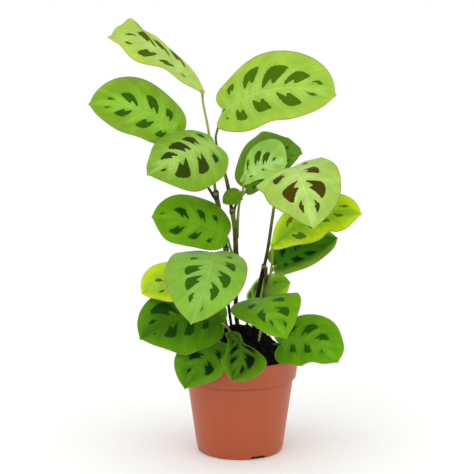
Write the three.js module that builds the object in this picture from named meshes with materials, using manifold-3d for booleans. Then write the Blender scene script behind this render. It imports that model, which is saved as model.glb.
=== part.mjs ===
// A potted prayer plant (maranta): a tapered terracotta-coloured nursery pot, a mound of
// potting soil, three leafy shoots and the single leaf stalks that rise round them.
// Millimetres, +Z up. The origin is the centre of the pot's flat underside, +X is to the right
// and -Y is the front. Every blade is a thin closed solid with its midrib ridge and the short
// swollen joint it turns on; every stalk and shoot stands in its own hole in the soil.
import * as THREE from "three";
import { mergeVertices } from "three/addons/utils/BufferGeometryUtils.js";
import Module from "manifold-3d";

const wasm = await Module();
wasm.setup();

// ---- driving dimensions, mm and degrees ----

const POT = {
  height: 99,
  rimRadius: 59.5,
  lip: { height: 3, slope: 1, step: 0.6, round: 0.8, width: 2.6 },
  bandFoot: 75, // height where the rim band steps in to the body
  bandRadius: 56.4,
  bandSlope: 1, // height of the slope under the band
  bandStep: 3, // how far the step inside the wall lies above the one outside
  shoulderRadius: 53.6,
  footRadius: 43.2,
  footRound: 3,
  heel: { height: 1.5, width: 1.5, inset: 1 }, // the slope between wall and floor, inside
  wall: 1.6,
  floor: 2,
  sides: 48,
};
const DRAIN = { count: 4, width: 15, height: 3.2, depth: 9, outside: 1, firstAngle: -65 };

const SOIL = {
  clearance: 0.3, // to the pot, and to every stalk that stands in it
  slack: 1.2, // further in than the pot's wall, below the band
  edgeHeight: 90,
  moundHeight: 36, // of the crown above the soil's edge
  swell: 1.7, // how steep the mound's flank is
  spread: 6, // how far outside the wall the mound would run out
  crown: [0, 4],
  clods: 1.5,
  rings: [0.9, 0.76, 0.6, 0.43, 0.26, 0.12, 0],
  sides: 32,
};

const BLADE = {
  thickness: 0.7,
  ribDepth: 0.9, // the midrib stands this far below the blade's underside
  rows: 12, // along the midrib
  columns: 3, // in each half
  joint: 5, // length of the swollen joint between stalk and blade
  jointRadius: 1.5,
  jointReach: 6, // how far the joint runs on under the blade
  jointSink: 0.6, // how far it lies below the midrib there
  cusp: 0.035, // the drawn-out point, as a share of the length
  cuspPower: 16, // how sudden that point is
  ribPower: 1.4, // how far the midrib's places lag behind the margin's
  veinPower: 1.25, // how the veins bend on their way from the midrib to the margin
  ripples: 18, // radians of ripple along a margin
  rippleShift: 1.7, // between the ripples of the two halves
  nudge: 0.02, // step for the slopes of the surface, as a share of the blade
};
const STALK = { radius: 1.15, sides: 6, segment: 14, buried: 24, gap: 0.35 };
const NODE = { sides: 8, levels: 6 };
const SHORTEST_EDGE = 0.05;
const WELD = 1e-4; // corners nearer than this are one

const COLOUR = {
  pot: 0xb0593e, soil: 0x1c1410, shoot: 0x4a3a1c, stalk: 0x7d8440,
  pale: 0xb4d46a, bright: 0x9ac535, deep: 0x4f8a1c, yellow: 0xc3dd34,
};
const ROUGHNESS = { pot: 0.5, soil: 1, stem: 0.5, leaf: 0.45 };

// ---- solids ----

const deg = THREE.MathUtils.degToRad;
const vec = (p) => new THREE.Vector3(...p);

// A closed three.js geometry as a solid.
function solid(geometry) {
  const bare = (geometry.index ? geometry.toNonIndexed() : geometry.clone());
  bare.deleteAttribute("normal");
  bare.deleteAttribute("uv");
  const merged = mergeVertices(bare, WELD);
  const index = merged.index.array;
  const kept = [];
  for (let i = 0; i < index.length; i += 3) {
    const [a, b, c] = [index[i], index[i + 1], index[i + 2]];
    if (a !== b && b !== c && c !== a) kept.push(a, b, c);
  }
  return new wasm.Manifold(
    new wasm.Mesh({
      numProp: 3,
      vertProperties: merged.attributes.position.array,
      triVerts: new Uint32Array(kept),
    }),
  );
}

// Triangles with the edges shorter than SHORTEST_EDGE drawn together, and without the pairs that
// are left lying face to face.
function withoutSlivers(position, index) {
  const joined = Array.from({ length: position.length / 3 }, (_, i) => i);
  const top = (i) => (joined[i] === i ? i : top(joined[i]));
  const at = (i) => new THREE.Vector3().fromArray(position, 3 * i);
  for (let i = 0; i < index.length; i++) {
    const a = top(index[i]);
    const b = top(index[i % 3 === 2 ? i - 2 : i + 1]);
    if (a !== b && at(a).distanceTo(at(b)) < SHORTEST_EDGE) joined[Math.max(a, b)] = Math.min(a, b);
  }
  const faces = new Map();
  for (let i = 0; i < index.length; i += 3) {
    const face = [top(index[i]), top(index[i + 1]), top(index[i + 2])];
    if (new Set(face).size < 3) continue;
    const key = [...face].sort((a, b) => a - b).join();
    if (faces.has(key)) faces.delete(key);
    else faces.set(key, face);
  }
  return [...faces.values()].flat();
}

function geometryOf(manifold) {
  const mesh = manifold.getMesh();
  const geometry = new THREE.BufferGeometry();
  geometry.setAttribute("position", new THREE.BufferAttribute(mesh.vertProperties, 3));
  geometry.setIndex(withoutSlivers(mesh.vertProperties, mesh.triVerts));
  geometry.computeVertexNormals();
  return geometry;
}

function fuse(solids) {
  return solids.reduce((sum, next) => sum.add(next));
}

// A round rod of few sides along a smooth curve through the points.
function rod(points, radius, steps) {
  const shape = new THREE.Shape();
  for (let i = 0; i < STALK.sides; i++) {
    const a = (2 * Math.PI * i) / STALK.sides;
    shape[i ? "lineTo" : "moveTo"](radius * Math.cos(a), radius * Math.sin(a));
  }
  shape.closePath();
  const path = new THREE.CatmullRomCurve3(points, false, "centripetal");
  return solid(
    new THREE.ExtrudeGeometry(shape, {
      steps: steps ?? Math.max(2, Math.round(path.getLength() / STALK.segment)),
      bevelEnabled: false,
      extrudePath: path,
    }),
  );
}

// A profile of [radius, height] points turned round the Z axis.
function turned(profile, sides) {
  const points = profile.map(([radius, z]) => new THREE.Vector2(radius, z));
  return new THREE.LatheGeometry(points, sides).rotateX(Math.PI / 2);
}

// ---- pot ----

function potBodyRadius(z) {
  const t = z / POT.bandFoot;
  return THREE.MathUtils.lerp(POT.footRadius, POT.shoulderRadius, t);
}

function pot() {
  const { height, rimRadius, lip, bandFoot, bandRadius, wall, floor, footRound, heel } = POT;
  const out = [[0, 0], [potBodyRadius(0) - footRound, 0]];
  for (const a of [30, 60, 90])
    out.push([
      potBodyRadius(0) - footRound * (1 - Math.sin(deg(a))),
      footRound * (1 - Math.cos(deg(a))),
    ]);
  out.push(
    [potBodyRadius(bandFoot), bandFoot],
    [bandRadius, bandFoot + POT.bandSlope],
    [rimRadius - lip.step, height - lip.height - lip.slope],
    [rimRadius, height - lip.height],
    [rimRadius, height - lip.round],
    [rimRadius - lip.round, height],
    [rimRadius - lip.width + lip.round / 2, height],
    [rimRadius - lip.width, height - lip.slope],
  );
  out.push(
    [bandRadius - wall, bandFoot + POT.bandStep],
    [potBodyRadius(bandFoot) - wall, bandFoot],
    [potBodyRadius(0) - wall - heel.inset, floor + heel.height],
    [potBodyRadius(0) - wall - heel.inset - heel.width, floor],
    [0, floor],
  );
  let body = solid(turned(out, POT.sides));
  // Drain slots cut through the corner between wall and floor.
  for (let i = 0; i < DRAIN.count; i++) {
    const a = deg(DRAIN.firstAngle + (360 / DRAIN.count) * i);
    const slot = new THREE.BoxGeometry(DRAIN.depth, DRAIN.width, DRAIN.height * 2);
    slot.translate(POT.footRadius + DRAIN.outside - DRAIN.depth / 2, 0, 0);
    slot.rotateZ(a);
    body = body.subtract(solid(slot));
  }
  return body;
}

// ---- soil ----

function innerRadius(z) {
  const step = POT.bandFoot + POT.bandStep;
  if (z >= step) {
    const t = (z - step) / (POT.height - POT.lip.slope - step);
    return THREE.MathUtils.lerp(POT.bandRadius - POT.wall, POT.rimRadius - POT.lip.width, t);
  }
  return potBodyRadius(z) - POT.wall - SOIL.slack;
}

function soilHeight(x, y) {
  const r = Math.hypot(x - SOIL.crown[0], y - SOIL.crown[1]);
  const edge = innerRadius(SOIL.edgeHeight) + SOIL.spread;
  const rise = Math.max(0, 1 - (r / edge) ** 2);
  // Clods are two crossed waves, 8 to 17 mm long.
  const clod =
    Math.sin(0.43 * x + 1.3) * Math.cos(0.37 * y - 0.4) + 0.6 * Math.sin(0.81 * y + 0.52 * x + 2.1);
  const mound = SOIL.moundHeight * rise ** SOIL.swell;
  return SOIL.edgeHeight + mound + SOIL.clods * clod * Math.min(1, 4 * rise);
}

function soil(sockets) {
  const gap = SOIL.clearance;
  const low = POT.floor + POT.heel.height + gap;
  const edge = innerRadius(SOIL.edgeHeight) - gap;
  const step = POT.bandFoot + POT.bandStep;
  const profile = [
    [0, low],
    [innerRadius(low) - POT.heel.inset - gap, low],
    [innerRadius(POT.bandFoot - 1) - gap, POT.bandFoot - 1],
    [innerRadius(step) - gap, step + 0.5],
    [edge, SOIL.edgeHeight],
  ];
  // The rings of the top surface lie at the pot's rim until they are raised to the mound.
  for (const share of SOIL.rings) profile.push([edge * share, POT.height]);
  const geometry = turned(profile, SOIL.sides);
  const position = geometry.attributes.position;
  for (let i = 0; i < position.count; i++)
    if (position.getZ(i) > SOIL.edgeHeight + 1)
      position.setZ(i, soilHeight(position.getX(i), position.getY(i)));
  return sockets.reduce((body, socket) => body.subtract(socket), solid(geometry));
}

// ---- leaves ----
// base and tip are the midrib's ends. roll turns the blade about its midrib: at 0 the halves are
// level and the upper face looks up, and more lifts the left half, seen from above with the tip
// ahead, and twist is how much it turns from base to tip. left and right are the half widths. arch
// lifts the midrib's middle out of the chord and sway bends it to the left. fold is how far each
// half rises from the midrib, curl how far it bends back down towards its margin, and flatten how
// much of the fold is gone by the tip.
// lobe is how far each half sweeps back round the stalk, belly moves the widest place towards
// the tip, full is near 1 for a plain oval half and less for a squarer one, taper is how straight
// the sides run in to the point, and wave is the ripple along the margin. bumps are where the
// margin stands out or in, on the left and on the right: how far along, how many mm, and over how
// long a stretch.
// stalk is the route up to the blade, from the soil or from the shoot that it grows on.

const USUAL = {
  twist: 0, sway: 0, fold: [8, 8], curl: [25, 25], flatten: 0,
  lobe: [0.3, 0.3], belly: 1, full: [0.85, 0.85], taper: 0.35, wave: 1, bumps: [[], []],
};

const LEAVES = [
  {
    name: "leaf_top_left", shoot: "shoot_left", tone: "bright",
    base: [-37, 0, 362], tip: [-129, -6, 415], roll: -14, twist: -80, left: 26, right: 14,
    arch: 3, sway: -20, fold: [3, 6], curl: [8, 8], lobe: [0.1, 0.1], belly: 1.35,
    full: [0.9, 0.6], taper: 0,
    bumps: [
      [[0.2, 7, 0.15], [0.88, -20, 0.1]],
      [[0.33, 8, 0.13], [0.65, -4, 0.07], [0.75, 9, 0.045], [0.93, -10, 0.06]],
    ],
    stalk: [[-24, 8, 258], [-27, 7, 284], [-31, 5, 322], [-36, 2, 352]],
  },
  {
    name: "leaf_upper_left", shoot: "shoot_left", tone: "bright",
    base: [-60, -3, 319], tip: [-148, -14, 351], roll: -68, left: 29, right: 33,
    arch: 6, sway: -10, curl: [15, 20], lobe: [0.1, 0.1], full: [0.85, 1],
    bumps: [[[0.45, -2, 0.15]], [[0.36, -5, 0.13]]],
    stalk: [[-24, 8, 254], [-33, 5, 269], [-46, 2, 294], [-56, -1, 312]],
  },
  {
    name: "leaf_top_right", shoot: "shoot_centre", tone: "bright",
    base: [-16, 0, 344], tip: [94, -14, 359], roll: 72, left: 39, right: 34,
    arch: 7, sway: 13, curl: [20, 15], lobe: [0.15, 0.6], full: [1, 1], taper: 0.1,
    bumps: [[[0.28, -8, 0.14]], [[0.13, -8, 0.1], [0.34, 2, 0.08], [0.5, -3, 0.08]]],
    stalk: [[-8, 0, 243], [-12, 4, 270], [-18, 8, 294], [-22, 9, 314], [-20, 5, 333]],
  },
  {
    name: "leaf_centre_high", shoot: "shoot_centre", tone: "pale",
    base: [-25, -10, 312], tip: [-89, -62, 288], roll: -38, left: 43, right: 29,
    arch: 8, curl: [35, 30], lobe: [0.2, 0.3], taper: 0.6,
    bumps: [[[0.2, -3, 0.1], [0.72, 5, 0.14]], [[0.78, -4, 0.1]]],
    stalk: [[-8, 0, 243], [-13, -2, 271], [-18, -4, 293], [-23, -7, 306]],
  },
  {
    name: "leaf_middle_left", shoot: "shoot_centre", tone: "deep",
    base: [-13, -8, 219], tip: [-87, -20, 241], roll: -52, left: 27, right: 33,
    arch: 6, sway: -3, curl: [25, 30], lobe: [0.15, 0.15],
    bumps: [[[0.78, 8, 0.14]], []],
    stalk: [[-5, 1, 196], [-8, -1, 205], [-11, -5, 213]],
  },
  {
    name: "leaf_centre_front", stem: "stalk_centre_front", tone: "pale",
    base: [-28, -18, 205], tip: [-46, -122, 156], roll: -8, left: 36, right: 43,
    arch: 17, sway: 6, lobe: [0.35, 0.5], taper: 0.5,
    stalk: [[-12, 3, 115], [-17, 6, 144], [-25, -3, 181], [-28, -14, 195]],
  },
  {
    name: "leaf_yellow_left", stem: "stalk_yellow_left", tone: "yellow",
    base: [-35, -12, 171], tip: [-97, -30, 166], roll: -45, left: 21, right: 28,
    arch: 4, sway: -5,
    stalk: [[-16, 9, 112], [-22, 7, 138], [-30, -5, 165]],
  },
  {
    name: "leaf_lower_left", stem: "stalk_lower_left", tone: "deep",
    base: [-17, -17, 133], tip: [-98, -50, 125], roll: -55, left: 35, right: 34,
    arch: 6, sway: -11, lobe: [0.2, 0.2],
    bumps: [[[0.6, 3, 0.15]], []],
    stalk: [[-8, -9, 112], [-11, -12, 126]],
  },
  {
    name: "leaf_rim_left", stem: "stalk_rim_left", tone: "deep",
    base: [-20, -25, 116], tip: [-54, -62, 78], roll: -20, left: 21, right: 27,
    arch: 9, fold: [12, 12], curl: [20, 20], lobe: [0.15, 0.15], taper: 0.6,
    bumps: [[[0.62, 7, 0.2]], []],
    stalk: [[-14, -15, 104], [-16, -19, 112]],
  },
  {
    name: "leaf_rim_centre", stem: "stalk_rim_centre", tone: "deep",
    base: [-14, -29, 126], tip: [-8, -73, 89], roll: 20, left: 26, right: 21,
    arch: 6, sway: 14, lobe: [0, 0], belly: 1.8, taper: 0.4,
    bumps: [[[0.45, -14, 0.14], [0.64, 4, 0.08]], []],
    stalk: [[-7, -16, 106], [-11, -21, 117]],
  },
  {
    name: "leaf_right_front", stem: "stalk_right_front", tone: "bright",
    base: [25, -20, 160], tip: [44, -100, 137], roll: 13, left: 34, right: 34,
    arch: 13, sway: -8, fold: [16, 8], lobe: [0.3, 0], full: [0.85, 1.1], taper: 0.5,
    bumps: [[[0.5, 2, 0.25]], [[0.36, 3, 0.1], [0.65, -9, 0.19]]],
    stalk: [[17, -14, 107], [20, -14, 123], [23, -15, 145], [25, -18, 155]],
  },
  {
    name: "leaf_lower_right", stem: "stalk_lower_right", tone: "deep",
    base: [39, -30, 115], tip: [95, -64, 105], roll: 45, left: 32, right: 28,
    arch: 5, sway: 11, lobe: [0.3, 0.5], taper: 0.5,
    bumps: [[[0.72, -5, 0.12]], [[0.2, 5, 0.1], [0.7, -4, 0.1]]],
    stalk: [[27, -12, 104], [32, -19, 112]],
  },
  {
    name: "leaf_right_high", shoot: "shoot_right", tone: "pale",
    base: [51, 5, 286], tip: [69, -92, 241], roll: 8, left: 38, right: 50,
    arch: 20, fold: [22, 3], flatten: 0.5, lobe: [0.7, -0.7], full: [0.85, 1],
    bumps: [
      [[0.12, 18, 0.08], [0.4, -8, 0.08], [0.75, 3, 0.12]],
      [[0.3, 7, 0.12], [0.5, -12, 0.2], [0.83, -12, 0.15]],
    ],
    stalk: [[34, 6, 246], [38, 9, 264], [44, 9, 278]],
  },
  {
    name: "leaf_right_young", shoot: "shoot_right", tone: "yellow",
    base: [32, -8, 209], tip: [119, -28, 245], roll: 50, left: 22, right: 34,
    arch: 2, sway: 15, fold: [25, 25], curl: [10, 10], flatten: 0.5, lobe: [0.1, 0.1], belly: 1.2,
    taper: 0.25,
    bumps: [[[0.15, -9, 0.1]], [[0.38, 5, 0.15], [0.67, -6, 0.06], [0.86, 3, 0.06]]],
    stalk: [[25, 3, 158], [29, -1, 174], [32, -4, 193], [32, -7, 203]],
  },
  {
    name: "leaf_right_under", shoot: "shoot_right", tone: "deep",
    base: [35, 3, 187], tip: [98, 10, 215], roll: 50, left: 27, right: 17,
    arch: 4,
    stalk: [[26, 4, 171], [31, 4, 181]],
  },
  {
    name: "leaf_right_back", stem: "stalk_right_back", tone: "deep",
    base: [10, 28, 145], tip: [51, 14, 169], roll: 50, left: 21, right: 22,
    arch: 4,
    stalk: [[8, 18, 113], [7, 24, 133]],
  },
  {
    name: "leaf_behind", shoot: "shoot_centre", tone: "deep",
    base: [7, 24, 262], tip: [61, 32, 303], roll: 45, left: 46, right: 14,
    arch: 4, belly: 1.1, taper: 0.2,
    bumps: [
      [[0.3, -6, 0.2], [0.68, 5, 0.06], [0.83, -4, 0.07], [0.94, 20, 0.05]],
      [[0.94, 20, 0.05]],
    ],
    stalk: [[-6, 2, 232], [-5, 10, 246], [2, 19, 256]],
  },
  {
    name: "leaf_young_upright", shoot: "shoot_centre", tone: "pale",
    base: [4, 8, 272], tip: [47, 10, 290], roll: 50, left: 29, right: 15,
    arch: 3, sway: 6, curl: [10, 30], belly: 1.5, taper: 0,
    bumps: [[[0.3, -11, 0.17]], []],
    stalk: [[-3, 2, 216], [-1, 5, 248], [3, 8, 264]],
  },
  {
    name: "leaf_bract", shoot: "shoot_centre", tone: "bright",
    base: [0, -3, 264], tip: [-17, -18, 254], roll: -50, left: 9, right: 8,
    arch: 3, lobe: [0, 0], taper: 0.5, wave: 0.3,
    stalk: [[1, 6, 255], [1, 1, 260]],
  },
  {
    name: "leaf_back_left", stem: "stalk_back_left", tone: "deep",
    base: [-20, 30, 126], tip: [-88, 70, 112], roll: 35, left: 26, right: 24,
    arch: 8,
    stalk: [[-10, 22, 112], [-14, 26, 122]],
  },
  {
    name: "leaf_back_centre", stem: "stalk_back_centre", tone: "bright",
    base: [2, 42, 116], tip: [6, 112, 82], roll: 0, left: 24, right: 24,
    arch: 7,
    stalk: [[2, 30, 106], [2, 36, 114]],
  },
  {
    name: "leaf_back_right", stem: "stalk_back_right", tone: "deep",
    base: [30, 32, 114], tip: [86, 74, 98], roll: -10, left: 26, right: 24,
    arch: 9,
    stalk: [[19, 24, 104], [24, 28, 112]],
  },
].map((leaf) => ({ ...USUAL, ...leaf }));

function bladeFrame(leaf) {
  const base = vec(leaf.base);
  const chord = vec(leaf.tip).sub(base);
  const along = chord.clone().normalize();
  const up = new THREE.Vector3(0, 0, 1).addScaledVector(along, -along.z).normalize();
  up.applyAxisAngle(along, deg(leaf.roll));
  return { base, chord, along, up, length: chord.length() };
}

// Place and axes of the midrib at a share x of its length.
function ribAt(leaf, frame, x) {
  const { base, chord, along, length } = frame;
  const up = frame.up.clone().applyAxisAngle(along, deg(leaf.twist * x * x));
  const side = up.clone().cross(along);
  const hump = 4 * x * (1 - x);
  const slope = (4 * (1 - 2 * x)) / length;
  const place = base.clone().addScaledVector(chord, x);
  place.addScaledVector(up, leaf.arch * hump).addScaledVector(side, leaf.sway * hump);
  const ahead = along.clone().addScaledVector(up, leaf.arch * slope);
  ahead.addScaledVector(side, leaf.sway * slope).normalize();
  const normal = up.clone().addScaledVector(ahead, -up.dot(ahead)).normalize();
  return { place, ahead, normal, left: normal.clone().cross(ahead) };
}

// How far a half's margin stands out of the plain outline.
function bumps(leaf, half, u) {
  const sum = leaf.bumps[half].reduce(
    (total, [place, height, stretch]) => total + height * Math.exp(-(((u - place) / stretch) ** 2)), 0);
  return sum * Math.sin(Math.PI * u);
}

// A point of the blade's middle surface: u runs from base to tip, v from -1 (right margin) to 1.
function bladePoint(leaf, frame, u, v) {
  const turn = Math.PI * u;
  const out = Math.abs(v);
  const half = v >= 0 ? 0 : 1;
  const point = BLADE.cusp * u ** BLADE.cuspPower;
  const sweep = leaf.lobe[half] * Math.sin(turn) * (1 - u) ** 3;
  const margin = ((1 - Math.cos(turn)) / 2 + point) / (1 + BLADE.cusp) - sweep;
  const rib = (u ** BLADE.ribPower + point) / (1 + BLADE.cusp);
  const x = rib + (margin - rib) * out ** BLADE.veinPower;
  const sides = 1 - leaf.taper * Math.max(0, 2 * u - 1) ** 2;
  const width = Math.sin(Math.PI * u ** leaf.belly) ** leaf.full[half] * sides;
  const full = half ? leaf.right : leaf.left;
  const reach = (full * width + bumps(leaf, half, u)) * out;
  const fold = deg(leaf.fold[half]) * (1 - leaf.flatten * x * x);
  const bend = deg(leaf.curl[half]) / full;
  const across = (Math.sin(fold) - Math.sin(fold - bend * reach)) / bend;
  const lift = (Math.cos(fold - bend * reach) - Math.cos(fold)) / bend;
  const phase = BLADE.ripples * u + BLADE.rippleShift * half;
  const ripple = leaf.wave * Math.sin(phase) * out ** 3 * Math.sin(turn);
  const { place, normal, left } = ribAt(leaf, frame, x);
  return place.addScaledVector(left, (half ? -1 : 1) * across).addScaledVector(normal, lift + ripple);
}

// The blade as one closed sheet, with the same diagonals above and below.
function sheet(leaf, frame) {
  const { rows, columns, thickness, ribDepth, nudge } = BLADE;
  const wide = 2 * columns + 1;
  const top = [];
  const under = [];
  for (let i = 0; i <= rows; i++)
    for (let j = 0; j < wide; j++) {
      const v = (j - columns) / columns;
      const p = bladePoint(leaf, frame, i / rows, v);
      const u = THREE.MathUtils.clamp(i / rows, nudge, 1 - nudge);
      const du = bladePoint(leaf, frame, u + nudge, v).sub(bladePoint(leaf, frame, u - nudge, v));
      const dv = bladePoint(leaf, frame, u, v + nudge).sub(bladePoint(leaf, frame, u, v - nudge));
      const normal = i % rows ? du.cross(dv).normalize() : ribAt(leaf, frame, i / rows).normal;
      const rib = j === columns ? ribDepth * Math.sin((Math.PI * i) / rows) ** 0.5 : 0;
      top.push(p.clone().addScaledVector(normal, thickness / 2));
      under.push(p.addScaledVector(normal, -thickness / 2 - rib));
    }
  const corners = [];
  const face = (...points) => points.forEach((p) => corners.push(p.x, p.y, p.z));
  for (let i = 0; i < rows; i++)
    for (let j = 0; j < wide - 1; j++) {
      const [a, b] = [i * wide + j, (i + 1) * wide + j];
      const cuts = j < columns ? [[a, b, a + 1], [b, b + 1, a + 1]] : [[a, b, b + 1], [a, b + 1, a + 1]];
      for (const [p, q, r] of cuts) {
        face(top[p], top[q], top[r]);
        face(under[p], under[r], under[q]);
      }
    }
  const last = rows * wide;
  const rim = [];
  for (let i = 0; i < rows; i++) rim.push(i * wide + wide - 1);
  for (let j = wide - 1; j > 0; j--) rim.push(last + j);
  for (let i = rows; i > 0; i--) rim.push(i * wide);
  for (let j = 0; j < wide - 1; j++) rim.push(j);
  rim.forEach((a, k) => {
    const b = rim[(k + 1) % rim.length];
    face(top[a], top[b], under[b]);
    face(top[a], under[b], under[a]);
  });
  const geometry = new THREE.BufferGeometry();
  geometry.setAttribute("position", new THREE.Float32BufferAttribute(corners, 3));
  return solid(geometry);
}

// The way that a blade's joint leads back to its stalk.
function backwards(leaf) {
  return vec(leaf.stalk.at(-1)).sub(vec(leaf.base)).normalize();
}

function blade(leaf) {
  const frame = bladeFrame(leaf);
  const { ahead, normal } = ribAt(leaf, frame, 0);
  const start = frame.base.clone().addScaledVector(ahead, BLADE.jointReach);
  start.addScaledVector(normal, -BLADE.jointSink);
  const end = frame.base.clone().addScaledVector(backwards(leaf), BLADE.joint);
  return sheet(leaf, frame).add(rod([start, frame.base, end], BLADE.jointRadius, 2));
}

// A stalk's route, up to its gap below the blade's joint.
function stalkRoute(leaf) {
  const end = vec(leaf.base).addScaledVector(backwards(leaf), BLADE.joint + STALK.gap);
  return [...leaf.stalk.map(vec), end];
}

// ---- shoots ----
// The jointed stems that carry several leaves. Each limb is a run of one thickness, and rings
// are the swollen nodes where stalks leave it.

const SHOOTS = {
  shoot_left: {
    limbs: [
      { radius: 1.5, route: [[-7, 8, 112], [-10, 10, 134], [-14, 16, 167], [-14, 17, 203]] },
      { radius: 2.7, route: [[-14, 17, 201], [-19, 15, 232], [-24, 8, 260]] },
    ],
    rings: [[-24, 8, 259, 3.4], [-14, 17, 202, 3.1]],
  },
  shoot_centre: {
    limbs: [
      { radius: 2.2, route: [[-1, 4, 114], [-4, 4, 140], [-4, 3, 168], [-4, 2, 199]] },
      { radius: 2.5, route: [[-4, 2, 197], [-5, 1, 225], [-8, 0, 245]] },
    ],
    rings: [[-8, 0, 244, 2.8], [-4, 2, 198, 3.1]],
  },
  shoot_right: {
    limbs: [
      { radius: 2.3, route: [[14, 6, 114], [17, 6, 152], [21, 6, 173], [24, 6, 187]] },
      { radius: 1.6, route: [[24, 6, 185], [28, 6, 206], [32, 6, 234], [34, 6, 248]] },
      { radius: 1.9, route: [[20, 3, 114], [23, 3, 148], [25, 4, 163], [26, 5, 186]] },
    ],
    rings: [[24, 6, 186, 2.7]],
  },
};

function ring([x, y, z, radius]) {
  const bead = new THREE.SphereGeometry(radius, NODE.sides, NODE.levels);
  bead.rotateX(Math.PI / 2);
  bead.translate(x, y, z);
  return solid(bead);
}

function meetsSoil({ route }) {
  return route[0][2] < POT.height + STALK.buried;
}

// The same route carried on down into the soil.
function rooted(route) {
  return [route[0].clone().setZ(route[0].z - STALK.buried), ...route];
}

function shoot(name) {
  const { limbs, rings } = SHOOTS[name];
  const stems = limbs.map((limb) => {
    const points = limb.route.map(vec);
    return rod(meetsSoil(limb) ? rooted(points) : points, limb.radius);
  });
  const carried = LEAVES.filter((leaf) => leaf.shoot === name);
  const stalks = carried.map((leaf) => rod(stalkRoute(leaf), STALK.radius));
  return fuse([...stems, ...rings.map(ring), ...stalks]);
}

const group = new THREE.Group();
function add(name, manifold, colour, roughness) {
  const material = new THREE.MeshStandardMaterial({ color: colour, roughness, metalness: 0 });
  const mesh = new THREE.Mesh(geometryOf(manifold), material);
  mesh.name = name;
  group.add(mesh);
}

// Every run that stands in the soil, and the plain hole that it stands in.
const standing = Object.values(SHOOTS).flatMap(({ limbs }) => limbs.filter(meetsSoil));
for (const leaf of LEAVES.filter(({ stem }) => stem))
  standing.push({ radius: STALK.radius, route: stalkRoute(leaf).map((p) => p.toArray()) });
const sockets = standing.map(({ radius, route }) => rod(rooted(route.map(vec)), radius + SOIL.clearance));

add("pot", pot(), COLOUR.pot, ROUGHNESS.pot);
add("soil", soil(sockets), COLOUR.soil, ROUGHNESS.soil);
for (const name of Object.keys(SHOOTS)) add(name, shoot(name), COLOUR.shoot, ROUGHNESS.stem);
for (const leaf of LEAVES) {
  add(leaf.name, blade(leaf), COLOUR[leaf.tone], ROUGHNESS.leaf);
  if (!leaf.stem) continue;
  const stalk = rod(rooted(stalkRoute(leaf)), STALK.radius);
  add(leaf.stem, stalk, COLOUR.stalk, ROUGHNESS.stem);
}

export default group;
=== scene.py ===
"""A potted prayer plant (maranta): blotched leaves on jointed shoots in a nursery pot."""
import math
import random

import bmesh
import bpy
import numpy as np
from mathutils import Matrix, Vector, noise
from mathutils.geometry import interpolate_bezier


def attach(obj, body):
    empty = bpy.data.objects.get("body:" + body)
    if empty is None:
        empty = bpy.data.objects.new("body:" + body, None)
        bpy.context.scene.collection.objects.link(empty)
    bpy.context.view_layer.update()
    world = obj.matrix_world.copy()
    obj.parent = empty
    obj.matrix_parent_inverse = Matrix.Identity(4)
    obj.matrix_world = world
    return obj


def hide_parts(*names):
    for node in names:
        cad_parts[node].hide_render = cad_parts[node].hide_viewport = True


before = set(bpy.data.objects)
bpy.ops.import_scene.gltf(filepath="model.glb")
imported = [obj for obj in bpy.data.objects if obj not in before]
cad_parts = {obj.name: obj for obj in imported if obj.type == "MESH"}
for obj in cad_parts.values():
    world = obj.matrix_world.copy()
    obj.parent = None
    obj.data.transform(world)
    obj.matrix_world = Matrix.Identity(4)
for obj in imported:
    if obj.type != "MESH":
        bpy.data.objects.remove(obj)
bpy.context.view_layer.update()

MM = 0.001
ROOT = "root"
random.seed(7)

# The pot, in mm.
POT_HEIGHT = 99
RIM = 59.5  # radius over the lip
BAND_FOOT = 75  # height of the rim band's lower edge
BAND = 56.4  # radius there
SHOULDER = 53.6  # radius of the body under the band
FOOT = 43.2  # radius at the table
WALL = 1.6
DRAIN_WIDTH = 15
DRAIN_HEIGHT = 3.2
DRAIN_ANGLES = (-65, 25, 115, 205)

# ---- camera ----
# A long lens at the front, a little above the plant and looking slightly down.
EYE = Vector((-3, -1600, 494)) * MM
LOOKING_DOWN = 9.8  # degrees
LENS = 123.95


def set_camera():
    """The camera at the photograph's viewing angle."""
    data = bpy.data.cameras.new("camera")
    data.lens = LENS
    data.sensor_width = 36
    camera = bpy.data.objects.new("camera", data)
    camera.location = EYE
    camera.rotation_euler = (math.radians(90 - LOOKING_DOWN), 0, 0)
    bpy.context.scene.collection.objects.link(camera)
    bpy.context.scene.camera = camera


set_camera()


# ---- materials ----

def linear(code):
    """An sRGB hex colour as linear RGBA."""
    parts = [int(code[i:i + 2], 16) / 255 for i in (1, 3, 5)]
    return [*(p / 12.92 if p <= 0.04045 else ((p + 0.055) / 1.055) ** 2.4 for p in parts), 1]


def feed(tree, node, inputs):
    """Put values or other nodes' sockets on a node's inputs."""
    for name, value in dict(inputs).items():
        if isinstance(value, bpy.types.NodeSocket):
            tree.links.new(value, node.inputs[name])
        else:
            node.inputs[name].default_value = value


def add(tree, kind, inputs=(), **settings):
    """A node with its settings, and with values or other nodes' sockets on its inputs."""
    made = tree.nodes.new(kind)
    for name, value in settings.items():
        setattr(made, name, value)
    feed(tree, made, inputs)
    return made


def new_material(name):
    """An empty material with its node tree and shader."""
    material = bpy.data.materials.new(name)
    material.use_nodes = True
    tree = material.node_tree
    shader = next(n for n in tree.nodes if n.type == "BSDF_PRINCIPLED")
    return material, tree, shader


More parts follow.
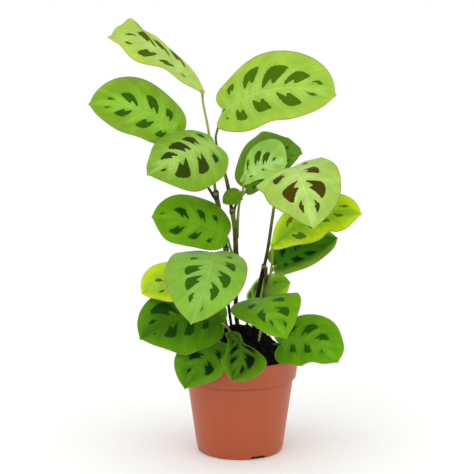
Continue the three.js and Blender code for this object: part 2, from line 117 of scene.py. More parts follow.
def leaf_skin(name, rib, field, edge, blotch, soft):
    """Living leaf: a waxy cuticle over pale feathering, green fields and dark blotches.

    The colours are the feathering along the midrib, the field between the veins, the outer
    band, and the blotches, whose edges fade over soft mm.
    """
    material, tree, shader = new_material(name)
    read = {
        key: add(tree, "ShaderNodeAttribute", attribute_name=key).outputs["Fac"]
        for key in ("blotch", "feather", "share", "vein", "band")
    }
    place = add(tree, "ShaderNodeTexCoord").outputs["Object"]
    # Ragged ends of the pigment, about 1.5 mm across, and slow drifts of 18 mm over the leaf.
    rag = add(tree, "ShaderNodeTexNoise", {"Vector": place, "Scale": 620, "Detail": 2})
    drift = add(tree, "ShaderNodeTexNoise", {"Vector": place, "Scale": 55, "Detail": 2})
    # Fine parallel veins, drawn 3 mm apart where real ones are 1 mm, so that they show.
    fan = add(tree, "ShaderNodeCombineXYZ",
              {"X": read["band"], "Y": read["share"], "Z": drift.outputs["Fac"]})
    stretch = add(tree, "ShaderNodeMapping", {"Vector": fan.outputs[0], "Scale": (6, 1.5, 3)})
    streak = add(tree, "ShaderNodeTexNoise",
                 {"Vector": stretch.outputs[0], "Scale": 1, "Detail": 2})
    ragged = add(tree, "ShaderNodeMath", {0: rag.outputs["Fac"], 1: 2.4, 2: read["blotch"]},
                 operation="MULTIPLY_ADD")
    inked = add(tree, "ShaderNodeMapRange",
                {"Value": ragged.outputs[0], "From Min": 1.2 - soft, "From Max": 1.2 + soft},
                interpolation_type="SMOOTHSTEP")
    brushed = add(tree, "ShaderNodeMath", {0: streak.outputs["Fac"], 1: 0.8, 2: read["feather"]},
                  operation="MULTIPLY_ADD")
    feathered = add(tree, "ShaderNodeMapRange",
                    {"Value": brushed.outputs[0], "From Min": -0.1, "From Max": 1.2},
                    interpolation_type="SMOOTHSTEP")
    outer = add(tree, "ShaderNodeMapRange",
                {"Value": read["share"], "From Min": 0.4, "From Max": 0.95},
                interpolation_type="SMOOTHSTEP")
    band = add(tree, "ShaderNodeMix",
               {0: outer.outputs[0], 6: linear(field), 7: linear(edge)}, data_type="RGBA")
    body = add(tree, "ShaderNodeMix",
               {0: feathered.outputs[0], 6: band.outputs[2], 7: linear(rib)}, data_type="RGBA")
    # Lateral veins show as slightly paler lines.
    pale = [min(1, 1.4 * part) for part in linear(rib)]
    veined = add(tree, "ShaderNodeMapRange",
                 {"Value": read["vein"], "From Min": 0.45, "From Max": 1, "To Max": 0.6})
    lined = add(tree, "ShaderNodeMix",
                {0: veined.outputs[0], 6: body.outputs[2], 7: pale}, data_type="RGBA")
    darkened = add(tree, "ShaderNodeMix",
                   {0: inked.outputs[0], 6: lined.outputs[2], 7: linear(blotch)}, data_type="RGBA")
    # The cut margin is a hair-thin pale brown line.
    rim = add(tree, "ShaderNodeMapRange",
              {"Value": read["share"], "From Min": 0.965, "From Max": 0.99, "To Max": 0.75})
    rimmed = add(tree, "ShaderNodeMix",
                 {0: rim.outputs[0], 6: darkened.outputs[2], 7: linear("#8a8a4e")}, data_type="RGBA")
    mottle = add(tree, "ShaderNodeMath",
                 {0: drift.outputs["Fac"], 1: streak.outputs["Fac"]}, operation="ADD")
    light = add(tree, "ShaderNodeMapRange",
                {"Value": mottle.outputs[0], "From Min": 0.6, "From Max": 1.4,
                 "To Min": 0.84, "To Max": 1.16})
    final = add(tree, "ShaderNodeHueSaturation",
                {"Color": rimmed.outputs[2], "Value": light.outputs[0]})
    # Cells and the finest veins, 0.8 mm apart.
    grain = add(tree, "ShaderNodeTexNoise", {"Vector": place, "Scale": 1250, "Detail": 3})
    relief = add(tree, "ShaderNodeBump",
                 {"Height": grain.outputs["Fac"], "Strength": 0.16, "Distance": 0.4 * MM})
    gloss = add(tree, "ShaderNodeMapRange",
                {"Value": drift.outputs["Fac"], "To Min": 0.38, "To Max": 0.56})
    feed(tree, shader, {
        "Base Color": final.outputs[0], "Normal": relief.outputs[0],
        "Roughness": gloss.outputs[0], "IOR": 1.42, "Specular IOR Level": 0.07})
    return material


def leaf_back():
    """The underside of a leaf: dull grey-green, with paler veins and the blotches faint."""
    material, tree, shader = new_material("leaf_underside")
    vein = add(tree, "ShaderNodeAttribute", attribute_name="vein").outputs["Fac"]
    blotch = add(tree, "ShaderNodeAttribute", attribute_name="blotch").outputs["Fac"]
    place = add(tree, "ShaderNodeTexCoord").outputs["Object"]
    drift = add(tree, "ShaderNodeTexNoise", {"Vector": place, "Scale": 90, "Detail": 3})
    body = add(tree, "ShaderNodeMix",
               {0: drift.outputs["Fac"], 6: linear("#6d9440"), 7: linear("#8bb052")},
               data_type="RGBA")
    through = add(tree, "ShaderNodeMapRange",
                  {"Value": blotch, "From Min": -0.8, "From Max": 0.8, "To Max": 0.45})
    shown = add(tree, "ShaderNodeMix",
                {0: through.outputs[0], 6: body.outputs[2], 7: linear("#48682c")}, data_type="RGBA")
    amount = add(tree, "ShaderNodeMapRange",
                 {"Value": vein, "From Min": 0.4, "From Max": 1, "To Max": 0.5})
    lined = add(tree, "ShaderNodeMix",
                {0: amount.outputs[0], 6: shown.outputs[2], 7: linear("#b9c987")}, data_type="RGBA")
    feed(tree, shader, {"Base Color": lined.outputs[2], "Roughness": 0.6, "IOR": 1.4,
                        "Specular IOR Level": 0.1})
    return material


def stem_skin(name, dark, light):
    """Stalk and shoot skin: fibrous, dark purple-brown below and olive to green above.

    The attribute "green" runs from 0 on old stem to 1 at a leaf, and "ring" marks the pale
    scars round a node.
    """
    material, tree, shader = new_material(name)
    green = add(tree, "ShaderNodeAttribute", attribute_name="green").outputs["Fac"]
    ring = add(tree, "ShaderNodeAttribute", attribute_name="ring").outputs["Fac"]
    place = add(tree, "ShaderNodeTexCoord").outputs["Object"]
    # Fibres about 0.4 mm wide and ten times as long, along the upright stems.
    stretch = add(tree, "ShaderNodeMapping", {"Vector": place, "Scale": (1, 1, 0.1)})
    fibre = add(tree, "ShaderNodeTexNoise",
                {"Vector": stretch.outputs[0], "Scale": 1400, "Detail": 2})
    patch = add(tree, "ShaderNodeTexNoise", {"Vector": place, "Scale": 110, "Detail": 2})
    shifted = add(tree, "ShaderNodeMath", {0: patch.outputs["Fac"], 1: 0.5, 2: green},
                  operation="MULTIPLY_ADD")
    turning = add(tree, "ShaderNodeMapRange",
                  {"Value": shifted.outputs[0], "From Min": 0.3, "From Max": 0.95})
    body = add(tree, "ShaderNodeMix",
               {0: turning.outputs[0], 6: linear(dark), 7: linear(light)}, data_type="RGBA")
    scarred = add(tree, "ShaderNodeMix",
                  {0: ring, 6: body.outputs[2], 7: linear("#c9a58c")}, data_type="RGBA")
    shade = add(tree, "ShaderNodeMapRange",
                {"Value": fibre.outputs["Fac"], "To Min": 0.8, "To Max": 1.2})
    final = add(tree, "ShaderNodeHueSaturation",
                {"Color": scarred.outputs[2], "Value": shade.outputs[0]})
    relief = add(tree, "ShaderNodeBump",
                 {"Height": fibre.outputs["Fac"], "Strength": 0.3, "Distance": 0.3 * MM})
    feed(tree, shader, {"Base Color": final.outputs[0], "Normal": relief.outputs[0],
                        "Roughness": 0.45, "IOR": 1.42, "Specular IOR Level": 0.15})
    return material


def pot_plastic():
    """Injection-moulded polypropylene, terracotta-coloured: matt with a soft broad sheen."""
    material, tree, shader = new_material("moulded_polypropylene")
    place = add(tree, "ShaderNodeTexCoord").outputs["Object"]
    # Flow of the pigment in broad upright drifts, and an eroded mould texture 0.5 mm fine.
    stretch = add(tree, "ShaderNodeMapping", {"Vector": place, "Scale": (1, 1, 0.35)})
    flow = add(tree, "ShaderNodeTexNoise",
               {"Vector": stretch.outputs[0], "Scale": 26, "Detail": 3})
    skin = add(tree, "ShaderNodeTexNoise", {"Vector": place, "Scale": 1900, "Detail": 2})
    body = add(tree, "ShaderNodeMix",
               {0: flow.outputs["Fac"], 6: linear("#a6461e"), 7: linear("#ae5028")},
               data_type="RGBA")
    # Painted shadow: a thin dark line in the corner under the rim band, where the band's overhang
    # casts shade.
    height = add(tree, "ShaderNodeSeparateXYZ", {0: place}).outputs["Z"]
    off = add(tree, "ShaderNodeMath", {0: height, 1: (BAND_FOOT - 0.2) * MM},
              operation="SUBTRACT")
    near = add(tree, "ShaderNodeMath", {0: off.outputs[0]}, operation="ABSOLUTE")
    painted_shadow = add(tree, "ShaderNodeMapRange",
               {"Value": near.outputs[0], "From Min": 0.4 * MM, "From Max": 2 * MM,
                "To Min": 0.35, "To Max": 0})
    shadowed = add(tree, "ShaderNodeMix",
                {0: painted_shadow.outputs[0], 6: body.outputs[2], 7: linear("#5c2412")}, data_type="RGBA")
    gloss = add(tree, "ShaderNodeMapRange",
                {"Value": skin.outputs["Fac"], "To Min": 0.42, "To Max": 0.58})
    relief = add(tree, "ShaderNodeBump",
                 {"Height": skin.outputs["Fac"], "Strength": 0.12, "Distance": 0.2 * MM})
    feed(tree, shader, {
        "Base Color": shadowed.outputs[2], "Roughness": gloss.outputs[0],
        "Normal": relief.outputs[0], "IOR": 1.49, "Sheen Weight": 0.25,
        "Sheen Roughness": 0.4, "Sheen Tint": linear("#ffd8c0")})
    return material


def peat(name, dark, light):
    """Moist peat: nearly black, with brown fibres that catch a little light."""
    material, tree, shader = new_material(name)
    place = add(tree, "ShaderNodeTexCoord").outputs["Object"]
    lump = add(tree, "ShaderNodeTexNoise", {"Vector": place, "Scale": 260, "Detail": 5})
    contrast = add(tree, "ShaderNodeMapRange",
                   {"Value": lump.outputs["Fac"], "From Min": 0.42, "From Max": 0.75})
    body = add(tree, "ShaderNodeMix",
               {0: contrast.outputs[0], 6: linear(dark), 7: linear(light)}, data_type="RGBA")
    relief = add(tree, "ShaderNodeBump",
                 {"Height": lump.outputs["Fac"], "Strength": 0.8, "Distance": 1.5 * MM})
    feed(tree, shader, {"Base Color": body.outputs[2], "Normal": relief.outputs[0],
                        "Roughness": 0.92, "Specular IOR Level": 0.1})
    return material


def paper():
    """A plain matt paper sweep for the floor."""
    material, tree, shader = new_material("white_paper_sweep")
    feed(tree, shader, {"Base Color": linear("#ffffff"), "Roughness": 0.9})
    return material


PLASTIC = pot_plastic()
PEAT = peat("moist_peat", "#040303", "#1a120c")
CRUMB = peat("peat_crumbs", "#080605", "#261b12")
SHOOT_SKIN = stem_skin("shoot_bark", "#1c1206", "#7c8428")
STALK_SKIN = stem_skin("stalk_skin", "#20180a", "#96a648")
LEAF_BACK = leaf_back()


# ---- pieces ----

def placed(name, data):
    """A new object of that name in the scene."""
    made = bpy.data.objects.new(name, data)
    bpy.context.scene.collection.objects.link(made)
    return made


def as_mesh(bm, name):
    """The bmesh as a mesh of that name."""
    mesh = bpy.data.meshes.new(name)
    bm.to_mesh(mesh)
    bm.free()
    return mesh


def reopened(mesh):
    """The mesh as a bmesh, which takes its place."""
    bm = bmesh.new()
    bm.from_mesh(mesh)
    bpy.data.meshes.remove(mesh)
    return bm


def finish(mesh, name, *materials, slot):
    """A piece in the root body that stands for the solid of the same name."""
    for material in materials:
        mesh.materials.append(material)
    mesh.shade_smooth()
    piece = placed(name + "_look", mesh)
    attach(piece, ROOT)
    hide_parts(name)


def with_modifier(bm, kind, slots=0, **settings):
    """The bmesh as a mesh with that many material slots and one modifier applied."""
    mesh = as_mesh(bm, "work")
    for _ in range(slots):
        mesh.materials.append(None)
    work = placed("work", mesh)
    modifier = work.modifiers.new(kind.lower(), kind)
    for key, value in settings.items():
        setattr(modifier, key, value)
    shown = work.evaluated_get(bpy.context.evaluated_depsgraph_get())
    made = bpy.data.meshes.new_from_object(shown)
    bpy.data.objects.remove(work)
    bpy.data.meshes.remove(mesh)
    return made


def smooth_route(points, pieces):
    """A smooth curve through the points in mm, with that many pieces to each stretch."""
    points = [Vector(p) * MM for p in points]
    heads = []
    for i in range(len(points)):
        before, after = points[max(i - 1, 0)], points[min(i + 1, len(points) - 1)]
        heads.append((after - before).normalized())
    route = []
    for i in range(len(points) - 1):
        span = (points[i + 1] - points[i]).length / 3
        stretch = interpolate_bezier(points[i], points[i] + heads[i] * span,
                                     points[i + 1] - heads[i + 1] * span, points[i + 1], pieces + 1)
        route += stretch if not route else stretch[1:]
    return route


def tube(bm, route, radii, sides=14, green=(0, 0), ring=None, material=0):
    """A closed round stem along a route, with its radius at each point in mm."""
    marks = {key: bm.verts.layers.float.get(key) or bm.verts.layers.float.new(key)
             for key in ("green", "ring")}
    count = len(route)
    heading = (route[1] - route[0]).normalized()
    turn = heading.to_track_quat("Z", "Y")
    place = Matrix.Translation(route[0]) @ turn.to_matrix().to_4x4()
    circle = bmesh.ops.create_circle(bm, segments=sides, radius=radii[0] * MM, matrix=place)
    verts = circle["verts"]
    edges = list({edge for vert in verts for edge in vert.link_edges})
    ends = list(edges)
    for i in range(count):
        if i:
            ahead = (route[min(i + 1, count - 1)] - route[i - 1]).normalized()
            bend = heading.rotation_difference(ahead)
            heading = ahead
            grow = radii[i] / radii[i - 1]
            step = (Matrix.Translation(route[i]) @ bend.to_matrix().to_4x4()
                    @ Matrix.Scale(grow, 4) @ Matrix.Translation(-route[i - 1]))
            made = bmesh.ops.extrude_edge_only(bm, edges=edges)["geom"]
            verts = [g for g in made if isinstance(g, bmesh.types.BMVert)]
            edges = [g for g in made if isinstance(g, bmesh.types.BMEdge)]
            bmesh.ops.transform(bm, matrix=step, verts=verts)
        for vert in verts:
            vert[marks["green"]] = green[0] + (green[1] - green[0]) * i / (count - 1)
            vert[marks["ring"]] = ring(i / (count - 1)) if ring else 0
    caps = bmesh.ops.holes_fill(bm, edges=ends + edges, sides=sides)["faces"]
    shell = {face for vert in verts for face in vert.link_faces} | set(caps)
    while True:
        more = {f for face in shell for edge in face.edges for f in edge.link_faces} - shell
        if not more:
            break
        shell |= more
    for face in shell:
        face.material_index = material
    bmesh.ops.recalc_face_normals(bm, faces=list(shell))


def steps(count, function):
    """The function's values at even steps from 0 to 1."""
    return [function(i / (count - 1)) for i in range(count)]


def turned(profile, segments):
    """A body turned about the pot's axis from a profile of radii and heights in mm."""
    bm = bmesh.new()
    verts = [bm.verts.new((r * MM, 0, z * MM)) for r, z in profile]
    edges = [bm.edges.new(pair) for pair in zip(verts, verts[1:])]
    bmesh.ops.spin(bm, geom=verts + edges, cent=(0, 0, 0), axis=(0, 0, 1), dvec=(0, 0, 0),
                   angle=2 * math.pi, steps=segments, use_merge=True)
    bmesh.ops.remove_doubles(bm, verts=bm.verts, dist=1e-6)
    bmesh.ops.recalc_face_normals(bm, faces=bm.faces)
    return bm


def drain_block(bm, angle, radius, height, size, rounding, segments):
    """A block with rounded edges at one of the drain slots, all in mm."""
    turn = Matrix.Rotation(math.radians(angle), 4, "Z")
    shift = Matrix.Translation(Vector((radius, 0, height)) * MM)
    scale = Matrix.Diagonal([part * MM for part in size] + [1])
    block = bmesh.ops.create_cube(bm, size=1, matrix=turn @ shift @ scale)
    edges = list({edge for vert in block["verts"] for edge in vert.link_edges})
    bmesh.ops.bevel(bm, geom=edges, offset=rounding * MM, segments=segments, affect="EDGES",
                    profile=0.5, material=-1)


# ---- pot ----

def body_radius(z):
    """Outer radius of the tapered body below the rim band."""
    return FOOT + (SHOULDER - FOOT) * z / BAND_FOOT


def build_pot():
    """A thin moulded wall with a rounded foot, a stepped rim band and a rolled lip."""
    # Underside and rounded foot.
    profile = [(0, 0.9), (FOOT - 8, 0.9), (FOOT - 6.5, 0.02), (FOOT - 3, 0.02)]
    profile += [(FOOT - 3 * (1 - math.sin(a)), 3 * (1 - math.cos(a)) + 0.02)
                for a in (math.radians(d) for d in (15, 30, 45, 60, 75, 90))]
    # Body, corner under the band, band, lip, and back down the inside.
    profile += [(body_radius(z), z) for z in (8, 20, 35, 50, 63, 71)]
    profile += [(SHOULDER - 0.1, BAND_FOOT - 1.4), (SHOULDER - 0.05, BAND_FOOT - 0.2),
                (SHOULDER + 0.5, BAND_FOOT + 0.3), (BAND - 0.5, BAND_FOOT + 0.75),
                (BAND, BAND_FOOT + 1.3), (BAND + 0.2, BAND_FOOT + 3)]
    profile += [(BAND + 0.2 + (RIM - BAND - 0.7) * t, BAND_FOOT + 3 + 17.5 * t)
                for t in (0.33, 0.66, 1)]
    profile += [(RIM - 0.1, POT_HEIGHT - 2.9), (RIM - 0.02, POT_HEIGHT - 1.6),
                (RIM - 0.3, POT_HEIGHT - 0.5), (RIM - 1.0, POT_HEIGHT - 0.02),
                (RIM - 1.9, POT_HEIGHT - 0.3), (RIM - 2.4, POT_HEIGHT - 1.2)]
    profile += [(BAND - WALL, BAND_FOOT + 3), (SHOULDER - WALL, BAND_FOOT - 1),
                (body_radius(30) - WALL, 30), (body_radius(6) - WALL, 6),
                (FOOT - 4, 2.6), (FOOT - 10, 2.3), (0, 2.3)]
    bm = turned(profile, 144)
    cutter = bmesh.new()
    for angle in DRAIN_ANGLES:
        drain_block(cutter, angle, FOOT - 3.5, 0, (9, DRAIN_WIDTH, 2 * DRAIN_HEIGHT), 0.8, 3)
    blocks = as_mesh(cutter, "slots")
    slots = placed("slots", blocks)
    mesh = with_modifier(bm, "BOOLEAN", operation="DIFFERENCE", solver="EXACT", object=slots)
    bpy.data.objects.remove(slots)
    bpy.data.meshes.remove(blocks)
    finish(mesh, "pot", PLASTIC, slot="pot")
    mesh.set_sharp_from_angle(angle=math.radians(40))


# ---- soil ----
SOIL_EDGE = 90  # height where the peat meets the pot
MOUND = 36  # rise from there to the top
CROWN = (0, 4)  # the top's place
CLOD_RINGS = 46
LUMPS = 1.3  # height of the clods' finer lumps
CRUMBS = 700
CRUMB_SIZES = (0.5, 1.5)  # radii


def inner_radius(z):
    """Radius of the pot's inside, with a little room for the peat."""
    if z >= BAND_FOOT + 3:
        t = (z - BAND_FOOT - 3) / (POT_HEIGHT - BAND_FOOT - 4)
        return BAND - WALL + (RIM - 2.6 - BAND + WALL) * t
    return body_radius(z) - WALL - 1.2


def soil_height(x, y):
    """Height of the mound in mm, with its clods."""
    edge = inner_radius(SOIL_EDGE) + 6
    rise = max(0, 1 - ((x - CROWN[0]) ** 2 + (y - CROWN[1]) ** 2) / edge ** 2)
    wave = (math.sin(0.43 * x + 1.3) * math.cos(0.37 * y - 0.4)
            + 0.6 * math.sin(0.81 * y + 0.52 * x + 2.1))
    return SOIL_EDGE + MOUND * rise ** 1.7 + 1.5 * wave * min(1, 4 * rise)


def build_soil():
    """A mound of peat with clods, the peat that fills the drain slots, and loose crumbs."""
    edge = inner_radius(SOIL_EDGE) - 0.4
    profile = [(0, 4), (inner_radius(4) - 1.4, 4), (inner_radius(74) - 0.4, 74),
               (inner_radius(78) - 0.4, 78.5), (edge, SOIL_EDGE)]
    profile += [(edge * (1 - k / CLOD_RINGS), SOIL_EDGE + 1) for k in range(1, CLOD_RINGS)]
    profile.append((0, SOIL_EDGE + 1))
    bm = turned(profile, 180)
    for vert in bm.verts:
        if vert.co.z > (SOIL_EDGE + 0.5) * MM:
            x, y = vert.co.x / MM, vert.co.y / MM
            out = math.hypot(x, y)
            loose = min(1, (edge - out) / 6)
            lumps = noise.fractal(Vector((x, y, 0)) * 0.22, 0.8, 2.1, 4)
            vert.co.z = (soil_height(x, y) + LUMPS * lumps * loose - 0.6) * MM
    for angle in DRAIN_ANGLES:
        drain_block(bm, angle, FOOT - 5.5, 2.4, (5, DRAIN_WIDTH - 0.6, 4.2), 0.7, 2)
    for _ in range(CRUMBS):
        out = edge * 0.97 * math.sqrt(random.random())
        angle = random.random() * 2 * math.pi
        x, y = out * math.cos(angle), out * math.sin(angle)
        size = random.uniform(*CRUMB_SIZES)
        stretch = Matrix.Diagonal((size * MM, size * random.uniform(0.5, 1) * MM,
                                   size * random.uniform(0.4, 0.9) * MM, 1))
        place = Matrix.Translation(Vector((x, y, soil_height(x, y) - 0.3)) * MM)
        tilt = Matrix.Rotation(random.random() * 6, 4, Vector((1, 0.4, random.random())))
        crumb = bmesh.ops.create_icosphere(bm, subdivisions=1, radius=1,
                                           matrix=place @ tilt @ stretch)
        for vert in crumb["verts"]:
            for face in vert.link_faces:
                face.material_index = 1
    finish(as_mesh(bm, "soil"), "soil", PEAT, CRUMB, slot="soil")


# ---- leaves ----
# base and tip are the midrib's ends in mm. roll turns the blade about its midrib: at 0 the
# halves are level, and more lifts the left half, seen from above with the tip ahead; twist is
# how much it turns further by the tip. arch lifts the midrib out of its chord and sway bends it
# to the left. fold is how far each half rises from the midrib, curl how far it bends back, and
# flatten how much of the fold is gone at the tip. lobe sweeps each half back round the stalk,
# belly moves the widest place to the tip, full rounds each half, taper straightens the sides
# towards the point, and wave ripples the margin. bumps are where the margin stands out or in, on
# the left and on the right: how far along, how many mm, and over how long a stretch. blotches
# are the dark marks on the left and on the right: how far along the midrib, how far out to the
# margin, and how large. blunt is 1 where they end in a broad edge and 0 where in a point. tone is
# how green the stalk is at its foot and at the blade, and looks are the colours of the blade.

CUSP = 0.035  # the drawn-out point, as a share of the length
BLADE_THICKNESS = 0.55
JOINT = 5  # length of the swollen joint between stalk and blade
JOINT_RADIUS = 1.45
JOINT_TOP = 0.35  # its radius where it runs out under the midrib
STALK_GAP = 0.35  # between the joint and its stalk
STALK_RADIUS = 1.15

USUAL = dict(
    twist=0, sway=0, fold=(8, 8), curl=(25, 25), flatten=0,
    lobe=(0.3, 0.3), belly=1, full=(0.85, 0.85), taper=0.35, bumps=((), ()), wave=1,
    blunt=1, tone=(0, 0.7),
    blotches=(((0.2, 0.45, 0.6), (0.37, 0.42, 0.9), (0.54, 0.4, 1), (0.7, 0.4, 0.8),
               (0.83, 0.4, 0.4)),) * 2,
)

